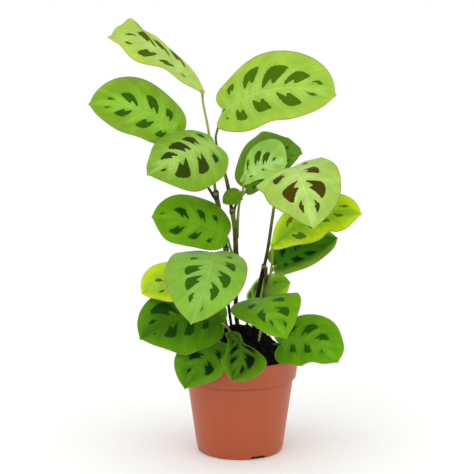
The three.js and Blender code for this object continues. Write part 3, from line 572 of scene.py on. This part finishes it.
LEAVES = {
    "leaf_top_left": dict(
        base=(-37, 0, 362), tip=(-129, -6, 415), roll=-14, twist=-80, left=26, right=14,
        arch=3, sway=-20, fold=(3, 6), curl=(8, 8),
        lobe=(0.1, 0.1), belly=1.35, full=(0.9, 0.6), taper=0,
        bumps=(((0.2, 7, 0.15), (0.88, -20, 0.1), (0.97, -14, 0.05)),
               ((0.33, 8, 0.13), (0.65, -4, 0.07), (0.75, 9, 0.045), (0.97, -26, 0.06))),
        stalk=((-24, 8, 258), (-27, 7, 284), (-31, 5, 322), (-36.5, 2, 352)), shoot="shoot_left",
        tone=(0.4, 0.9),
        looks=("#aac865", "#a6c25a", "#aac84a", "#485a04", 0.3), slot="leaf_bright",
        blotches=(((0.3, 0.3, 0.5), (0.46, 0.42, 0.9), (0.63, 0.54, 0.95), (0.77, 0.66, 0.35)),
                  ((0.37, 0.75, 0.95), (0.55, 0.45, 1), (0.72, 0.25, 1), (0.84, 0.29, 0.5))),
        blunt=0.3),
    "leaf_upper_left": dict(
        base=(-60, -3, 319), tip=(-147.9, -14, 351), roll=-68, left=29, right=33,
        arch=6, sway=-10, curl=(15, 20), lobe=(0.1, 0.1), full=(0.85, 1),
        bumps=(((0.45, -2, 0.15),), ((0.36, -5, 0.13),)),
        stalk=((-24, 8, 254), (-33, 5, 269), (-46, 2, 294), (-56, -1, 312)), shoot="shoot_left",
        looks=("#86b838", "#74a218", "#7ca42c", "#305a04", 0.4), slot="leaf_bright",
        blotches=(((0.24, 0.5, 0.8), (0.44, 0.43, 1), (0.68, 0.35, 0.9), (0.83, 0.32, 0.35)),
                  ((0.28, 0.42, 0.75), (0.45, 0.35, 0.95), (0.65, 0.31, 0.9), (0.8, 0.34, 0.4))),
        blunt=0.4),
    "leaf_top_right": dict(
        base=(-16, 0, 344), tip=(94, -14, 359), roll=72, left=39, right=34,
        arch=7, sway=13, curl=(20, 15), lobe=(0.15, 0.6), full=(1, 1), taper=0.1,
        bumps=(((0.28, -8, 0.14),), ((0.13, -8, 0.1), (0.34, 2, 0.08), (0.5, -3, 0.08))),
        stalk=((-8, 0, 243), (-12, 4, 270), (-19, 8, 294), (-24, 9, 314), (-22, 8, 325),
               (-18, 5, 337)),
        tone=(0.1, 0.4), shoot="shoot_centre", slot="leaf_bright",
        looks=("#9cc24c", "#8eb63a", "#9abe3e", "#466a02", 0.4),
        blotches=(((0.2, 0.62, 0.6), (0.36, 0.5, 0.95), (0.53, 0.37, 1.15), (0.69, 0.35, 1),
                   (0.81, 0.48, 0.45)),
                  ((0.13, 0.58, 0.25), (0.25, 0.5, 0.8), (0.42, 0.41, 1), (0.63, 0.4, 1.15),
                   (0.82, 0.31, 0.5))),
        blunt=0.5),
    "leaf_centre_high": dict(
        base=(-25, -10, 312), tip=(-89, -62, 288), roll=-38, left=43, right=29,
        arch=8, curl=(35, 30), lobe=(0.2, 0.3), taper=0.6,
        bumps=(((0.2, -3, 0.1), (0.72, 5, 0.14)), ((0.78, -4, 0.1),)),
        stalk=((-8, 0, 243), (-13, -2, 271), (-18, -4, 293), (-23, -7, 306)),
        shoot="shoot_centre", slot="leaf_pale",
        looks=("#98ba54", "#7ca636", "#78a228", "#2e4204", 0.3),
        blotches=(((0.27, 0.48, 0.7), (0.45, 0.45, 1.1), (0.65, 0.44, 1.2), (0.82, 0.4, 0.4)),
                  ((0.19, 0.58, 0.7), (0.37, 0.35, 1.05), (0.54, 0.27, 1.3), (0.71, 0.25, 1.1)))),
    "leaf_middle_left": dict(
        base=(-13, -8, 219), tip=(-87, -20, 241), roll=-52, left=27, right=33,
        arch=6, sway=-3, curl=(25, 30), lobe=(0.15, 0.15),
        bumps=(((0.78, 8, 0.14),), ()),
        stalk=((-6, 1, 197), (-9, -2, 205), (-11, -6, 213)), shoot="shoot_centre",
        tone=(0.4, 0.5),
        # Painted light: the outer band's green is lighter than the blade's own, to offset the shade
        # over its upper half.
        looks=("#70a81a", "#669e06", "#6aa010", "#1e4c04", 1), slot="leaf_deep",
        blotches=(((0.29, 0.56, 0.55), (0.46, 0.53, 0.85), (0.66, 0.5, 1)),
                  ((0.3, 0.41, 0.55), (0.47, 0.3, 0.8), (0.68, 0.28, 1), (0.86, 0.4, 0.35)))),
    "leaf_centre_front": dict(
        base=(-28, -18, 205), tip=(-46, -122, 156), roll=-8, left=36, right=43,
        arch=17, sway=6, lobe=(0.35, 0.5), taper=0.5,
        stalk=((-12, 3, 115), (-17, 6, 144), (-25, -3, 181), (-28, -14, 195)),
        stem="stalk_centre_front", slot="leaf_pale",
        looks=("#88b64a", "#7cac38", "#80b038", "#2e6002", 0.4),
        blotches=(((0.28, 0.5, 0.4), (0.41, 0.51, 0.75), (0.56, 0.46, 0.95), (0.7, 0.4, 0.9),
                   (0.84, 0.46, 0.3)),
                  ((0.38, 0.4, 0.45), (0.53, 0.37, 0.9), (0.66, 0.37, 0.95), (0.78, 0.43, 0.5)))),
    "leaf_yellow_left": dict(
        base=(-35, -12, 171), tip=(-97, -30, 166), roll=-45, left=21, right=28,
        arch=4, sway=-5,
        stalk=((-16, 9, 112), (-22, 7, 138), (-30, -5, 165)), stem="stalk_yellow_left",
        looks=("#aacc3c", "#a8cc28", "#c8e41c", "#4e6c02", 0.6), slot="leaf_yellow",
        blotches=(((0.7, 0.46, 0.5),),
                  ((0.72, 0.3, 0.6),))),
    "leaf_lower_left": dict(
        base=(-17, -17, 133), tip=(-98, -50, 125), roll=-55, left=35, right=34,
        arch=6, sway=-11, lobe=(0.2, 0.2), bumps=(((0.6, 3, 0.15),), ()),
        stalk=((-8, -9, 112), (-11, -12, 126)), stem="stalk_lower_left",
        looks=("#406c0e", "#4a7e0a", "#588e08", "#164404", 1), slot="leaf_deep",
        blotches=(((0.31, 0.2, 0.8), (0.49, 0.28, 1.05), (0.68, 0.36, 1.05), (0.84, 0.36, 0.3)),
                  ((0.43, 0.43, 1), (0.63, 0.47, 1.3), (0.79, 0.39, 0.55)))),
    "leaf_rim_left": dict(
        base=(-20, -25, 116), tip=(-54, -62, 78), roll=-20, left=21, right=27,
        arch=9, fold=(12, 12), curl=(20, 20), lobe=(0.15, 0.15), taper=0.6,
        bumps=(((0.62, 7, 0.2),), ()),
        stalk=((-14, -15, 104), (-16, -19, 112)), stem="stalk_rim_left",
        looks=("#4c8014", "#427404", "#56900c", "#082c02", 1), slot="leaf_deep",
        blotches=(((0.35, 0.5, 0.9), (0.58, 0.5, 1.1)),
                  ((0.36, 0.35, 0.9), (0.55, 0.25, 1.1), (0.76, 0.3, 0.5)))),
    "leaf_rim_centre": dict(
        base=(-14, -29, 126), tip=(-8, -73, 89), roll=20, left=26, right=21,
        arch=6, sway=14, lobe=(0, 0), belly=1.8, taper=0.4,
        bumps=(((0.45, -14, 0.14), (0.64, 4, 0.08)), ()),
        stalk=((-7, -16, 106), (-11, -21, 117)), stem="stalk_rim_centre", tone=(0, 0.3),
        looks=("#4a7610", "#345604", "#5c8a0c", "#051e00", 1), slot="leaf_deep",
        blotches=(((0.55, 0.35, 0.9), (0.7, 0.37, 1.15), (0.83, 0.34, 0.6)),
                  ((0.34, 0.3, 0.5), (0.51, 0.3, 1.2), (0.71, 0.36, 0.8)))),
    "leaf_right_front": dict(
        base=(25, -20, 160), tip=(44, -100, 137), roll=13, left=34, right=34,
        arch=13, sway=-8, fold=(16, 8), lobe=(0.3, 0), full=(0.85, 1.1), taper=0.5,
        bumps=(((0.5, 2, 0.25),), ((0.36, 3, 0.1), (0.65, -9, 0.19))),
        stalk=((17, -14, 107), (20, -14, 123), (23, -15, 145), (25, -18, 155)),
        stem="stalk_right_front", slot="leaf_bright", tone=(0.7, 0.6),
        looks=("#70a61e", "#5e9606", "#6a9f0c", "#2a5c02", 0.6),
        blotches=(((0.48, 0.38, 0.9), (0.66, 0.5, 1), (0.8, 0.58, 0.5)),
                  ((0.45, 0.38, 0.7), (0.65, 0.35, 1.1), (0.8, 0.23, 0.6)))),
    "leaf_lower_right": dict(
        base=(39, -30, 115), tip=(95, -64, 105), roll=45, left=32, right=28,
        arch=5, sway=11, lobe=(0.3, 0.5), taper=0.5,
        bumps=(((0.72, -5, 0.12),), ((0.2, 3.6, 0.1), (0.7, -4, 0.1))),
        stalk=((27, -12, 104), (32, -19, 112)), stem="stalk_lower_right", tone=(0, 0.15),
        looks=("#6ca41c", "#5a940a", "#64a00c", "#265802", 1), slot="leaf_deep",
        blotches=(((0.28, 0.45, 0.7), (0.46, 0.38, 1), (0.64, 0.34, 0.9)),
                  ((0.33, 0.35, 0.9), (0.55, 0.34, 0.95), (0.76, 0.32, 0.35)))),
    "leaf_right_high": dict(
        base=(51, 5, 286), tip=(69, -92, 241), roll=8, left=38, right=50,
        arch=20, sway=0, fold=(22, 3), flatten=0.5, lobe=(0.7, -0.7), full=(0.85, 1),
        bumps=(((0.12, 18, 0.08), (0.4, -8, 0.08), (0.75, 3, 0.12)),
               ((0.3, 7, 0.12), (0.5, -12, 0.2), (0.83, -12, 0.15))),
        stalk=((34, 6, 246), (38, 9, 264), (44, 9, 278)), shoot="shoot_right",
        tone=(0.3, 0.9),
        looks=("#aed068", "#9ec058", "#9ec04e", "#443c02", 0.3), slot="leaf_pale",
        blotches=(((0.32, 0.35, 0.5), (0.49, 0.34, 0.85), (0.67, 0.38, 1.15), (0.81, 0.45, 0.6)),
                  ((0.4, 0.5, 0.85), (0.64, 0.4, 1.25), (0.79, 0.45, 0.65)))),
    "leaf_right_young": dict(
        base=(32, -8, 209), tip=(119, -28, 245), roll=50, left=22, right=34,
        arch=2, sway=15, fold=(25, 25), curl=(10, 10), flatten=0.5, lobe=(0.1, 0.1),
        belly=1.2, taper=0.25,
        bumps=(((0.15, -9, 0.1),), ((0.38, 5, 0.15), (0.67, -6, 0.06), (0.86, 3, 0.06))),
        stalk=((25, 3, 158), (29, -1, 174), (32, -4, 193), (32, -7, 203)), shoot="shoot_right",
        tone=(0.3, 0.7),
        looks=("#94c024", "#aed41e", "#c6e41c", "#587c06", 0.6), slot="leaf_yellow",
        blotches=(((0.35, 0.4, 0.7), (0.57, 0.45, 0.6), (0.79, 0.5, 0.5)),
                  ((0.35, 0.53, 1), (0.52, 0.4, 0.5), (0.66, 0.33, 0.8), (0.82, 0.2, 0.6))),
        blunt=0.5),
    "leaf_right_under": dict(
        base=(35, 3, 187), tip=(98, 10, 215), roll=50, left=27, right=17, arch=4,
        stalk=((26, 4, 171), (31, 4, 181)), shoot="shoot_right",
        looks=("#3c780c", "#2c6806", "#749e22", "#083404", 1), slot="leaf_deep",
        blotches=(((0.3, 0.4, 0.8), (0.5, 0.4, 1), (0.7, 0.4, 0.8)),
                  ((0.26, 0.3, 0.6), (0.43, 0.25, 1.1), (0.6, 0.3, 0.9)))),
    "leaf_right_back": dict(
        base=(10, 28, 145), tip=(51, 14, 169), roll=50, left=21, right=22, arch=4,
        stalk=((8, 18, 113), (7, 24, 133)), stem="stalk_right_back",
        # Painted light: these greens are lighter than the blade's own, to stand in for light on a
        # leaf in shade behind the shoots.
        looks=("#7cb424", "#76ac18", "#9ccc30", "#34600a", 1), slot="leaf_deep",
        blotches=(((0.14, 0.5, 1.2), (0.32, 0.5, 1.4), (0.72, 0.35, 0.4)),
                  ((0.14, 0.5, 1.2), (0.32, 0.5, 1.4), (0.56, 0.4, 0.5)))),
    "leaf_behind": dict(
        base=(7, 24, 262), tip=(61, 32, 303), roll=45, left=46, right=14,
        arch=4, belly=1.1, taper=0.2,
        bumps=(((0.3, -6, 0.2), (0.68, 5, 0.06), (0.83, -4, 0.07), (0.94, 20, 0.05)),
               ((0.94, 20, 0.05),)),
        stalk=((-6, 2, 232), (-5, 10, 246), (2, 19, 256)), shoot="shoot_centre",
        looks=("#6c9a2a", "#649412", "#66941c", "#2a5804", 1), slot="leaf_deep"),
    "leaf_young_upright": dict(
        base=(4, 8, 272), tip=(47, 10, 290), roll=50, left=29, right=15,
        arch=3, sway=6, curl=(10, 30), belly=1.5, taper=0, bumps=(((0.3, -11, 0.17),), ()),
        stalk=((-3, 2, 216), (-1, 5, 248), (3, 8, 264)), shoot="shoot_centre",
        tone=(0.3, 1.2),
        looks=("#b0d876", "#98c652", "#a0d45a", "#3c6202", 0.4), slot="leaf_pale",
        blotches=(((0.33, 0.7, 0.7), (0.52, 0.42, 1), (0.66, 0.28, 0.9), (0.8, 0.2, 0.4)),
                  ((0.28, 0.25, 0.6), (0.55, 0.28, 0.4))), blunt=0.4),
    "leaf_bract": dict(
        base=(0, -3, 264), tip=(-17, -18, 254), roll=-50, left=9, right=8,
        arch=3, lobe=(0, 0), taper=0.5, wave=0.3, blotches=((), ()),
        stalk=((1, 6, 255), (1, 1, 260)), shoot="shoot_centre",
        looks=("#649018", "#5c8a0a", "#5c8a0a", "#264c04", 0.4), slot="leaf_bright"),
    "leaf_back_left": dict(
        base=(-20, 30, 126), tip=(-88, 70, 112), roll=35, left=26, right=24, arch=8,
        stalk=((-10, 22, 112), (-14, 26, 122)), stem="stalk_back_left",
        looks=("#5c921e", "#4c800a", "#528808", "#164404", 1), slot="leaf_deep"),
    "leaf_back_centre": dict(
        base=(2, 42, 116), tip=(6, 112, 82), roll=0, left=24, right=24, arch=7,
        stalk=((2, 30, 106), (2, 36, 114)), stem="stalk_back_centre",
        looks=("#70a61e", "#5e9606", "#6a9f0c", "#2a5c02", 0.6), slot="leaf_bright"),
    "leaf_back_right": dict(
        base=(30, 32, 114), tip=(86, 74, 98), roll=-10, left=26, right=24, arch=9,
        stalk=((19, 24, 104), (24, 28, 112)), stem="stalk_back_right",
        looks=("#64981a", "#548a06", "#5c900a", "#265802", 1), slot="leaf_deep"),
}
for leaf in LEAVES.values():
    for key, value in USUAL.items():
        leaf.setdefault(key, value)

GRID = (120, 84)  # cells along the midrib and across the blade
PINCH = (0.45, 0.06)  # how much narrower the point is drawn, and over what share of the length
RIPPLES = 18
QUILT = (0.42, 0.15)  # mm that the blade rises between its veins, and in finer waves there
GROOVE = (0.55, 1.3)  # depth and half width of the valley along the midrib
LEAN = 0.1  # how far the veins run towards the tip on their way to the margin
BAND_STEP = 0.18  # from one vein band to the next, along the midrib
BLOTCH_WIDTH = 0.12  # of the largest blotches, as a share of the midrib
BLOTCH_REACH = 0.42  # the same outwards, as a share of the half's width


def unit(vectors):
    """The vectors with a length of 1."""
    return vectors / np.linalg.norm(vectors, axis=-1, keepdims=True)


def turned_about(vector, axis, angle):
    """The vector turned about the unit axis, for each of the angles."""
    angle = angle[..., None]
    return (vector * np.cos(angle) + np.cross(axis, vector) * np.sin(angle)
            + axis * np.dot(vector, axis) * (1 - np.cos(angle)))


def rib_at(leaf, x):
    """Place and axes of the midrib at shares x of its length, in mm."""
    base, tip = np.array(leaf["base"], float), np.array(leaf["tip"], float)
    chord = tip - base
    length = np.linalg.norm(chord)
    along = chord / length
    level = unit(np.array((0, 0, 1)) - along[2] * along)
    up = turned_about(level, along, np.radians(leaf["roll"] + leaf["twist"] * x * x))
    side = np.cross(up, along)
    hump = (4 * x * (1 - x))[..., None]
    slope = (4 * (1 - 2 * x) / length)[..., None]
    place = base + chord * x[..., None] + up * leaf["arch"] * hump + side * leaf["sway"] * hump
    ahead = unit(along + up * leaf["arch"] * slope + side * leaf["sway"] * slope)
    normal = unit(up - ahead * np.sum(up * ahead, axis=-1, keepdims=True))
    return place, ahead, normal, np.cross(normal, ahead)


def bands(leaf, u, v):
    """For each point, the running number of the vein band that it lies in.

    It is a whole number along the middle of each blotch and a half between two of them.
    """
    number = np.zeros_like(u)
    lean = u - LEAN * np.abs(v) ** 1.1
    for half, mask in ((0, v >= 0), (1, v < 0)):
        places = [blotch[0] for blotch in leaf["blotches"][half]] or [0.5]
        step = np.diff(places).mean() if len(places) > 1 else BAND_STEP
        before = [places[0] - step * k for k in (3, 2, 1)]
        after = [places[-1] + step * k for k in (1, 2, 3)]
        stops = before + places + after
        number[mask] = np.interp(lean[mask], stops, np.arange(len(stops)))
    return number


def bumps(leaf, u, left):
    """How far the margin stands out of the plain outline, in mm."""
    total = np.zeros_like(u)
    for half, mask in ((0, left), (1, ~left)):
        for place, height, stretch in leaf["bumps"][half]:
            total += mask * height * np.exp(-((u - place) / stretch) ** 2)
    return total * np.sin(np.pi * u)


def blade_points(leaf, u, v):
    """The blade's middle surface: u runs from base to tip, v from -1 (right margin) to 1."""
    turn = np.pi * u
    out = np.abs(v)
    left = v >= 0

    def pick(pair):
        return np.where(left, *pair)

    point = CUSP * u ** 16
    sweep = pick(leaf["lobe"]) * np.sin(turn) * (1 - u) ** 3
    margin = ((1 - np.cos(turn)) / 2 + point) / (1 + CUSP) - sweep
    rib = (u ** 1.4 + point) / (1 + CUSP)
    x = rib + (margin - rib) * out ** 1.25
    sides = 1 - leaf["taper"] * np.maximum(0, 2 * u - 1) ** 2
    width = np.sin(np.pi * u ** leaf["belly"]).clip(0) ** pick(leaf["full"]) * sides
    full = pick((leaf["left"], leaf["right"]))
    drawn = 1 - PINCH[0] * np.exp(-((1 - u) / PINCH[1]) ** 2)
    reach = (full * width + bumps(leaf, u, left)) * drawn * out
    fold = np.radians(pick(leaf["fold"])) * (1 - leaf["flatten"] * x * x)
    bend = np.radians(pick(leaf["curl"])) / full
    across = (np.sin(fold) - np.sin(fold - bend * reach)) / bend
    lift = (np.cos(fold - bend * reach) - np.cos(fold)) / bend
    ripple = leaf["wave"] * np.sin(RIPPLES * u + 1.7 * ~left) * out ** 3 * np.sin(turn)
    # The blade rises between its lateral veins, and sinks along them and the midrib.
    number = bands(leaf, u, v)
    quilt = QUILT[1] * np.cos(6 * np.pi * number) - QUILT[0] * np.cos(2 * np.pi * (number + 0.5))
    quilt *= np.sin(np.pi * out) * np.sin(turn)
    groove = -GROOVE[0] * np.exp(-(reach / GROOVE[1]) ** 2) * np.sin(turn) ** 0.5
    place, _, normal, side = rib_at(leaf, x)
    return (place + side * (np.where(left, 1, -1) * across)[..., None]
            + normal * (lift + ripple + quilt + groove)[..., None])


def blotch_depth(leaf, u, v):
    """How deep each point lies inside the nearest blotch, in mm, and below 0 outside.

    A blotch is a wedge between two veins with two fingers towards the midrib, the longer one
    on the side of the stalk. Its own axes run from -1 to 1 along the midrib and outwards.
    """
    depth = np.full_like(u, -5.0)
    lean = u - LEAN * np.abs(v) ** 1.1
    length = np.linalg.norm(np.subtract(leaf["tip"], leaf["base"]))
    for half, mask in ((0, v >= 0), (1, v < 0)):
        for place, out, size in leaf["blotches"][half]:
            wide = BLOTCH_WIDTH * size * length / 2
            high = BLOTCH_REACH * size * leaf[("left", "right")[half]] / 2
            a = (lean - place) * length / wide
            b = (np.abs(v) - out) * leaf[("left", "right")[half]] / high
            broad = 0.78 + 0.22 * b
            pointed = 0.95 * np.sqrt((1 - ((b + 0.25) / 1.3) ** 2).clip(0))
            flank = broad * leaf["blunt"] + pointed * (1 - leaf["blunt"])
            inner = 0.5 * a.clip(0, 1) - 1.2 + 0.75 * np.exp(-((a - 0.05) / 0.28) ** 2)
            outer = 1 - 0.45 * np.abs(a) ** 3
            inside = np.minimum((flank - np.abs(a)) * wide,
                                np.minimum(b - inner, outer - b) * high)
            depth = np.where(mask, np.maximum(depth, inside), depth)
    return depth


def marks(leaf, u, v):
    """Strengths of the leaf's markings at each point."""
    out = np.abs(v)
    number = bands(leaf, u, v)
    # Pale feathering follows the midrib and runs out along the veins between the blotches.
    between = 0.5 - 0.5 * np.cos(2 * np.pi * number)
    feather = 1.1 - out / (0.2 + 0.38 * between)
    vein = np.cos(2 * np.pi * (number + 0.5)).clip(0) ** 24 * (1 - out) ** 0.4
    vein = np.maximum(vein, np.exp(-(out / 0.035) ** 2))
    return {"blotch": blotch_depth(leaf, u, v), "feather": feather.clip(-1, 1), "share": out,
            "vein": vein, "band": number}


def leaf_stalk_end(leaf):
    """The way from the blade's foot back to its stalk."""
    return (Vector(leaf["stalk"][-1]) - Vector(leaf["base"])).normalized()


def build_leaf(name, leaf, skin):
    """One blade with its quilted halves and midrib, and the swollen joint below it."""
    bm = bmesh.new()
    bmesh.ops.create_grid(bm, x_segments=GRID[0], y_segments=GRID[1], size=1)
    mesh = as_mesh(bm, name)
    flat = np.empty(len(mesh.vertices) * 3)
    mesh.vertices.foreach_get("co", flat)
    flat = flat.reshape(-1, 3)
    u, v = (flat[:, 0] + 1) / 2, flat[:, 1]
    places = blade_points(leaf, u, v) * MM
    mesh.vertices.foreach_set("co", places.ravel())
    for key, values in marks(leaf, u, v).items():
        mesh.attributes.new(key, "FLOAT", "POINT").data.foreach_set("value", values)
    bm = reopened(mesh)
    bmesh.ops.remove_doubles(bm, verts=bm.verts, dist=2e-6)
    up = rib_at(leaf, np.array([0.5]))[2][0]
    if sum(face.normal.dot(Vector(up)) for face in bm.faces) < 0:
        bmesh.ops.reverse_faces(bm, faces=bm.faces)
    mesh = with_modifier(bm, "SOLIDIFY", slots=2, thickness=BLADE_THICKNESS * MM, offset=0,
                         use_even_offset=False, material_offset=1)
    bm = reopened(mesh)
    # The joint starts inside the blade, 7 mm out along the midrib.
    base = Vector(leaf["base"])
    length = (Vector(leaf["tip"]) - base).length
    rib, _, normal, _ = rib_at(leaf, np.array([0, 3, 7]) / length)
    under = [Vector(a) for a in rib - normal * np.array([[0.5], [1.3], [1.2]])]
    route = smooth_route([under[2], under[1], under[0], base + leaf_stalk_end(leaf) * JOINT], 5)
    swell = steps(len(route), lambda t: JOINT_TOP
                  + (JOINT_RADIUS - JOINT_TOP) * min(1, 1.7 * t) ** 1.2)
    tube(bm, route, swell, green=(leaf["tone"][1],) * 2, material=2)
    finish(as_mesh(bm, name), name, skin, LEAF_BACK, STALK_SKIN, slot=leaf["slot"])


# ---- shoots and stalks ----
ROOTED = 24  # how far a stalk goes down into the soil

# limbs are radius, green at foot and top, and route; rings are place, radius and paleness.
SHOOTS = {
    "shoot_left": dict(
        limbs=((1.5, (0, 0), ((-7, 8, 112), (-10, 10, 134), (-14, 16, 167), (-14, 17, 203))),
               (2.7, (0.1, 0.55), ((-14, 17, 201), (-19, 15, 232), (-24, 8, 260)))),
        rings=((-24, 8, 259, 3.4, 0.6), (-14, 17, 202, 3.1, 0.3))),
    "shoot_centre": dict(
        limbs=((2.2, (0, 0), ((-1, 4, 114), (-4, 4, 140), (-4, 3, 168), (-4, 2, 199))),
               (2.5, (0, 0.7), ((-4, 2, 197), (-5, 1, 225), (-8, 0, 245)))),
        rings=((-8, 0, 244, 2.8, 0.5), (-4, 2, 198, 3.1, 0))),
    "shoot_right": dict(
        limbs=((2.3, (0, 0), ((14, 6, 114), (17, 6, 152), (21, 6, 173), (24, 6, 187))),
               (1.6, (0.1, 0.6), ((24, 6, 185), (28, 6, 206), (32, 6, 234), (34, 6, 248))),
               (1.9, (0.15, 0.35), ((20, 3, 114), (23, 3, 148), (25, 4, 163), (26, 5, 186)))),
        rings=((24, 6, 186, 2.7, 0.5),)),
}


def rooted(route):
    """The route with its foot sunk into the soil."""
    x, y, z = route[0]
    return [(x, y, z - ROOTED), *route]


def stalk_route(leaf):
    """The leaf's stalk, up to its gap below the joint."""
    end = Vector(leaf["base"]) + leaf_stalk_end(leaf) * (JOINT + STALK_GAP)
    return [*leaf["stalk"], tuple(end)]


def build_shoot(name, shoot):
    """A jointed shoot: limbs, swollen nodes with pale scars, and the stalks of its leaves."""
    bm = bmesh.new()
    for radius, green, route in shoot["limbs"]:
        in_soil = route[0][2] < POT_HEIGHT + ROOTED
        path = smooth_route(rooted(route) if in_soil else route, 12)
        tube(bm, path, steps(len(path), lambda t: radius * (1.04 - 0.08 * t)), green=green)
    for x, y, z, radius, pale in shoot["rings"]:
        path = [Vector((x, y, z + k * radius * 0.34)) * MM for k in range(-4, 5)]
        bulge = steps(9, lambda t: radius * (0.62 + 0.38 * math.sin(math.pi * t) ** 0.8))
        tube(bm, path, bulge, sides=20, green=(0.2, 0.2),
             ring=lambda t: pale * math.exp(-((t - 0.62) / 0.12) ** 2))
    for leaf in LEAVES.values():
        if leaf.get("shoot") == name:
            path = smooth_route(stalk_route(leaf), 12)
            sheath = steps(len(path), lambda t: STALK_RADIUS * (1 + 0.5 * (1 - t) ** 4))
            tube(bm, path, sheath, green=leaf["tone"], material=1)
    finish(as_mesh(bm, name), name, SHOOT_SKIN, STALK_SKIN, slot="shoot")


def build_stalk(leaf):
    """One leaf stalk that rises from the soil, thicker in its sheath at the foot."""
    bm = bmesh.new()
    path = smooth_route(rooted(stalk_route(leaf)), 12)
    radii = steps(len(path), lambda t: STALK_RADIUS * (1.15 - 0.2 * t))
    tube(bm, path, radii, green=leaf["tone"])
    finish(as_mesh(bm, leaf["stem"]), leaf["stem"], STALK_SKIN, slot="stalk")


build_pot()
build_soil()
for name, shoot in SHOOTS.items():
    build_shoot(name, shoot)
skins = {}
for name, leaf in LEAVES.items():
    looks = leaf["looks"]
    if looks not in skins:
        skins[looks] = leaf_skin("waxy_leaf_" + str(len(skins) + 1), *looks)
    build_leaf(name, leaf, skins[looks])
    if "stem" in leaf:
        build_stalk(leaf)


# ---- studio ----

def build_studio():
    """A white sweep, an even white room and two soft lamps at the front."""
    scene = bpy.context.scene
    scene.view_settings.view_transform = "Standard"
    world = bpy.data.worlds.new("studio")
    world.use_nodes = True
    sky = world.node_tree.nodes["Background"]
    sky.inputs["Color"].default_value = (1, 1, 1, 1)
    sky.inputs["Strength"].default_value = 1
    scene.world = world
    bm = bmesh.new()
    bmesh.ops.create_grid(bm, x_segments=1, y_segments=1, size=30)
    mesh = as_mesh(bm, "floor")
    mesh.materials.append(paper())
    placed("floor", mesh)
    for name, place, size, power in (
        ("key", (-0.7, -1.3, 1.5), 1.2, 5), ("fill", (1.2, -1.0, 0.9), 1.2, 2),
    ):
        data = bpy.data.lights.new(name, "AREA")
        data.size = size
        data.energy = power
        lamp = placed(name, data)
        lamp.location = place
        aim = Vector((0, 0, 0.22)) - Vector(place)
        lamp.rotation_euler = aim.to_track_quat("-Z", "Y").to_euler()


build_studio()
